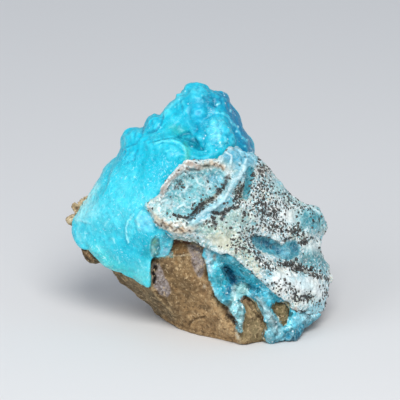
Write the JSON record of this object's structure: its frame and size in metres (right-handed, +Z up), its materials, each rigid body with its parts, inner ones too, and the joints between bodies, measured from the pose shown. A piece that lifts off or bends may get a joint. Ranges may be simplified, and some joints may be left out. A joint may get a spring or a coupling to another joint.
{
  "type": "hemimorphite specimen",
  "caption": "Hand-sized block of brown limonite with a thick blue botryoidal hemimorphite crust, a pale speckled druse with a raised rosette, and a blue-lined vug.",
  "frame": {"origin": "under the middle of the specimen's bounding box, on the flat fracture that it rests on", "axes": "+Z up, +X to the right of someone who looks at the display face, +Y away from them; the display face looks along -Y"},
  "size_m": [0.0906, 0.0602, 0.0807],
  "materials": {
    "limonite": "dull, earthy and grainy",
    "blue_hemimorphite": "waxy to glassy, translucent",
    "pale_hemimorphite": "sugary, with dark oxide grains",
    "vug_hemimorphite": "glassy, translucent"
  },
  "bodies": {
    "root": {"matrix": "limonite", "blue_crust": "blue_hemimorphite", "pale_druse": "pale_hemimorphite", "vug_lining": "vug_hemimorphite"}
  },
  "joints": []
}
